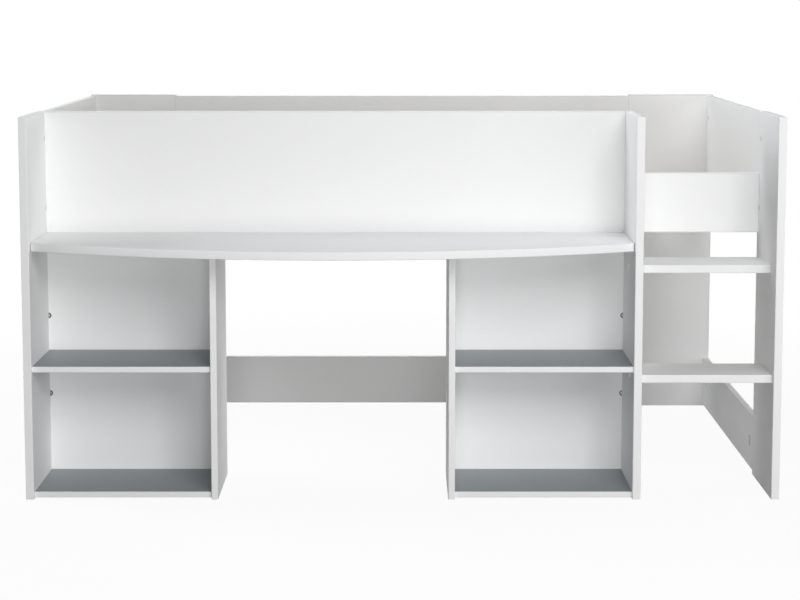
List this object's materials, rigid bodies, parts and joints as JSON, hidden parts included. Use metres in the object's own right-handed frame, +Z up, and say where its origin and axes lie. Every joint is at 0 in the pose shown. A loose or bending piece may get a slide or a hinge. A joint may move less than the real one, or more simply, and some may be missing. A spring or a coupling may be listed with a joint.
{
  "type": "combination bed",
  "caption": "Mid-height single bed with guard boards, a bowed desk over open bookcases along its front, steps at one end of the desk and a lift-out slatted base.",
  "frame": {"origin": "middle of the bounding box, on the floor", "axes": "+X to the right along the bed for a person who faces the desk, +Y to the rear, +Z up"},
  "size_m": [2.046, 1.3718, 1.04],
  "materials": {
    "white_melamine_board": "chipboard faced with satin white melamine, white edge band",
    "slate_melamine_shelf": "chipboard faced with satin slate-grey melamine, white front edge band",
    "pine": "planed, unfinished",
    "beech": "fluted, unfinished",
    "webbing": "woven polyester tape",
    "white_cap": "moulded",
    "zinc_casting": "die-cast",
    "dark_zinc": "dark passivated",
    "zinc_plated_steel": "zinc plated"
  },
  "bodies": {
    "bed_frame": {"front_left_upright": "white_melamine_board", "middle_upright": "white_melamine_board", "front_right_upright": "white_melamine_board", "rear_left_upright": "white_melamine_board", "rear_right_upright": "white_melamine_board", "left_end_board": "white_melamine_board", "left_end_lower_rail": "white_melamine_board", "right_end_board": "white_melamine_board", "right_end_lower_rail": "white_melamine_board", "rear_guard": "white_melamine_board", "rear_lower_rail": "white_melamine_board", "front_guard": "white_melamine_board", "ladder_rail": "white_melamine_board", "desk_top": "white_melamine_board", "left_bookcase_side": "white_melamine_board", "left_bookcase_back": "white_melamine_board", "right_bookcase_side": "white_melamine_board", "right_bookcase_back": "white_melamine_board", "upper_step": "white_melamine_board", "lower_step": "white_melamine_board", "left_bottom_shelf": "slate_melamine_shelf", "left_middle_shelf": "slate_melamine_shelf", "right_bottom_shelf": "slate_melamine_shelf", "right_middle_shelf": "slate_melamine_shelf", "front_slat_cleat": "pine", "rear_slat_cleat": "pine", "cam_locks": "zinc_casting", "cam_bolts": "zinc_plated_steel", "cam_covers": "white_cap", "dowels": "beech", "half_moon_connectors": "dark_zinc", "connector_screws": "zinc_plated_steel", "rail_bolts": "zinc_plated_steel", "rail_half_moons": "zinc_plated_steel", "rail_nuts": "zinc_plated_steel", "step_screws": "zinc_plated_steel", "step_screw_caps": "white_cap", "cleat_screws": "zinc_plated_steel"},
    "slatted_base": {"slat_01": "pine", "slat_02": "pine", "slat_03": "pine", "slat_04": "pine", "slat_05": "pine", "slat_06": "pine", "slat_07": "pine", "slat_08": "pine", "slat_09": "pine", "slat_10": "pine", "slat_11": "pine", "slat_12": "pine", "slat_13": "pine", "slat_14": "pine", "front_strap": "webbing", "rear_strap": "webbing", "strap_staples": "zinc_plated_steel"}
  },
  "joints": [
    {"name": "slatted_base_lift", "type": "slide", "parent": "bed_frame", "child": "slatted_base", "axis": [0, 0, 1], "range_m": [0, 0.35]}
  ]
}
